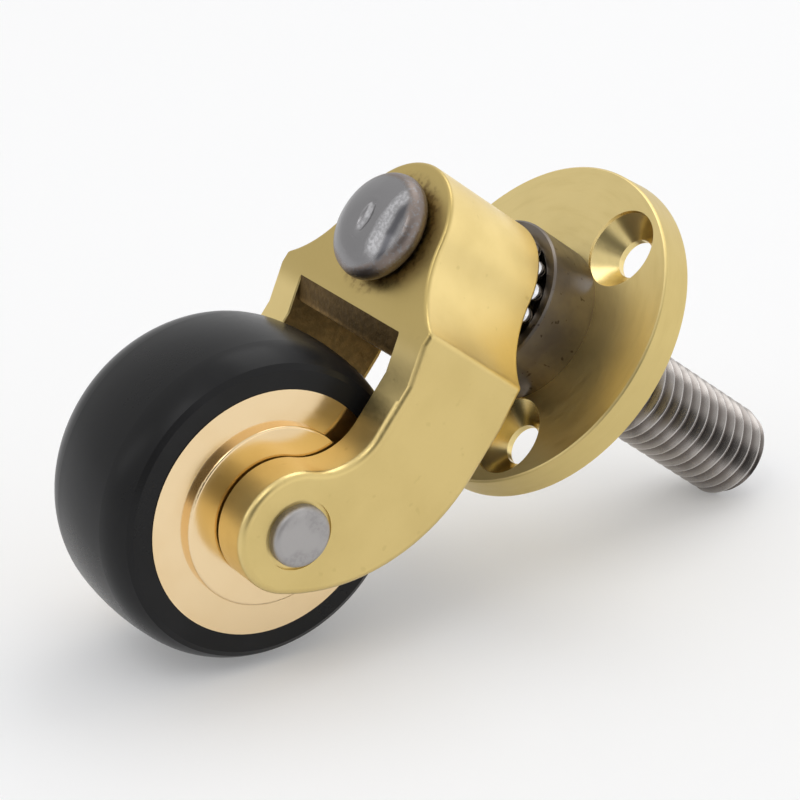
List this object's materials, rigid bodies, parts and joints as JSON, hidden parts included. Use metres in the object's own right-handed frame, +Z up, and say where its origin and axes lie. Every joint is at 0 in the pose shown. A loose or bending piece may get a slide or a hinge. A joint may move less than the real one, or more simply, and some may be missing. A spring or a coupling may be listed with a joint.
{
  "type": "stem castor",
  "caption": "Brass swivel castor with a forked arm and a rubber-tyred wheel under a round screw plate and a threaded stem.",
  "frame": {"origin": "centre of the plate's mounting face, on the swivel axis", "axes": "+Z up the stem into the furniture leg, +X the way the wheel trails at rest, Y along the wheel's axle"},
  "size_m": [0.0618, 0.035, 0.0717],
  "materials": {
    "fork_brass": "satin cast brass",
    "plate_brass": "turned and brushed brass",
    "hub_brass": "polished turned brass",
    "stem_steel": "plain steel, rolled thread and hammered rivet head",
    "cup_steel": "dark turned steel",
    "ball_steel": "bright bearing steel",
    "axle_steel": "peened matt steel",
    "tyre_rubber": "satin black rubber"
  },
  "bodies": {
    "plate": {"mounting_plate": "plate_brass", "threaded_stem": "stem_steel", "bearing_cup": "cup_steel"},
    "ball_ring": {"ball_01": "ball_steel", "ball_02": "ball_steel", "ball_03": "ball_steel", "ball_04": "ball_steel", "ball_05": "ball_steel", "ball_06": "ball_steel", "ball_07": "ball_steel", "ball_08": "ball_steel", "ball_09": "ball_steel", "ball_10": "ball_steel", "ball_11": "ball_steel", "ball_12": "ball_steel", "ball_13": "ball_steel", "ball_14": "ball_steel", "ball_15": "ball_steel", "ball_16": "ball_steel"},
    "fork": {"fork": "fork_brass", "axle": "axle_steel"},
    "wheel": {"wheel_hub": "hub_brass", "tyre": "tyre_rubber"}
  },
  "joints": [
    {"name": "swivel", "type": "hinge", "parent": "plate", "child": "fork", "pos_m": [0, 0, 0], "axis": [0, 0, 1], "continuous": true},
    {"name": "ball_orbit", "type": "hinge", "parent": "plate", "child": "ball_ring", "pos_m": [0, 0, 0], "axis": [0, 0, 1], "continuous": true},
    {"name": "wheel_spin", "type": "hinge", "parent": "fork", "child": "wheel", "pos_m": [0.02825, 0, -0.0246], "axis": [0, 1, 0], "continuous": true}
  ],
  "couplings": [
    {"joint": "ball_orbit", "follows": "swivel", "ratio": 0.5}
  ]
}
